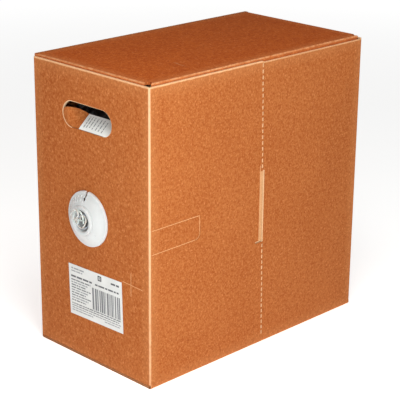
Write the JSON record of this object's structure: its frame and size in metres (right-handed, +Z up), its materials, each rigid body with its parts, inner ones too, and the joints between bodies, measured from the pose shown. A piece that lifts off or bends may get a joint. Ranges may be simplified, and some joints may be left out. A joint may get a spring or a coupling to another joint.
{
  "type": "cable pull box",
  "caption": "Corrugated carton holding a wound cable coil that pays out through a flanged tube in one end wall, with a hinged tuck lid and hand holes.",
  "frame": {"origin": "on the floor under the middle of the carton's base, on the underside of the near bottom flap", "axes": "+Z up; -X is the end wall with the payout tube; +Y is the side wall that the lid is hinged to"},
  "size_m": [0.3605, 0.192, 0.35],
  "materials": {
    "kraft_board": "matt brown kraft corrugated board, speckled",
    "white_plastic": "white injection-moulded plastic, light sheen",
    "cable_jacket": "light grey extruded cable jacket",
    "label_paper": "white label paper, matt"
  },
  "bodies": {
    "carton": {"near_side_wall": "kraft_board", "far_side_wall": "kraft_board", "front_end_wall": "kraft_board", "back_end_wall": "kraft_board", "glue_flap": "kraft_board", "bottom_flap_near": "kraft_board", "bottom_flap_far": "kraft_board", "dust_flap_front": "kraft_board", "dust_flap_back": "kraft_board", "payout_tube": "white_plastic", "cable_coil": "cable_jacket", "cable_feed": "cable_jacket", "front_label": "label_paper"},
    "lid": {"lid_panel": "kraft_board"},
    "near_tuck": {"lid_near_tuck": "kraft_board"},
    "front_tuck": {"lid_front_tuck": "kraft_board"},
    "back_tuck": {"lid_back_tuck": "kraft_board"},
    "front_flap": {"front_hand_flap": "kraft_board", "hand_flap_label": "label_paper"},
    "back_flap": {"back_hand_flap": "kraft_board"},
    "loose_cable": {"cable_end": "cable_jacket"}
  },
  "joints": [
    {"name": "lid_fold", "type": "hinge", "parent": "carton", "child": "lid", "pos_m": [0, 0.096, 0.35], "axis": [-1, 0, 0], "range_deg": [0, 250]},
    {"name": "near_tuck_fold", "type": "hinge", "parent": "lid", "child": "near_tuck", "pos_m": [0, -0.0925, 0.347], "axis": [-1, 0, 0], "range_deg": [0, 50]},
    {"name": "front_tuck_fold", "type": "hinge", "parent": "lid", "child": "front_tuck", "pos_m": [-0.1705, 0, 0.347], "axis": [0, 1, 0], "range_deg": [0, 37.5]},
    {"name": "back_tuck_fold", "type": "hinge", "parent": "lid", "child": "back_tuck", "pos_m": [0.1705, 0, 0.347], "axis": [0, -1, 0], "range_deg": [0, 37.5]},
    {"name": "front_flap_fold", "type": "hinge", "parent": "carton", "child": "front_flap", "pos_m": [-0.174, 0.0042, 0.2777], "axis": [0, 1, 0], "range_deg": [-48, 44]},
    {"name": "back_flap_fold", "type": "hinge", "parent": "carton", "child": "back_flap", "pos_m": [0.174, 0.0042, 0.2777], "axis": [0, -1, 0], "range_deg": [0, 92]},
    {"name": "cable_payout", "type": "slide", "parent": "carton", "child": "loose_cable", "axis": [-1, 0, 0], "range_m": [0, 0.1]}
  ],
  "couplings": [
    {"joint": "near_tuck_fold", "follows": "lid_fold", "ratio": 0.2},
    {"joint": "front_tuck_fold", "follows": "lid_fold", "ratio": 0.15},
    {"joint": "back_tuck_fold", "follows": "lid_fold", "ratio": 0.15}
  ]
}
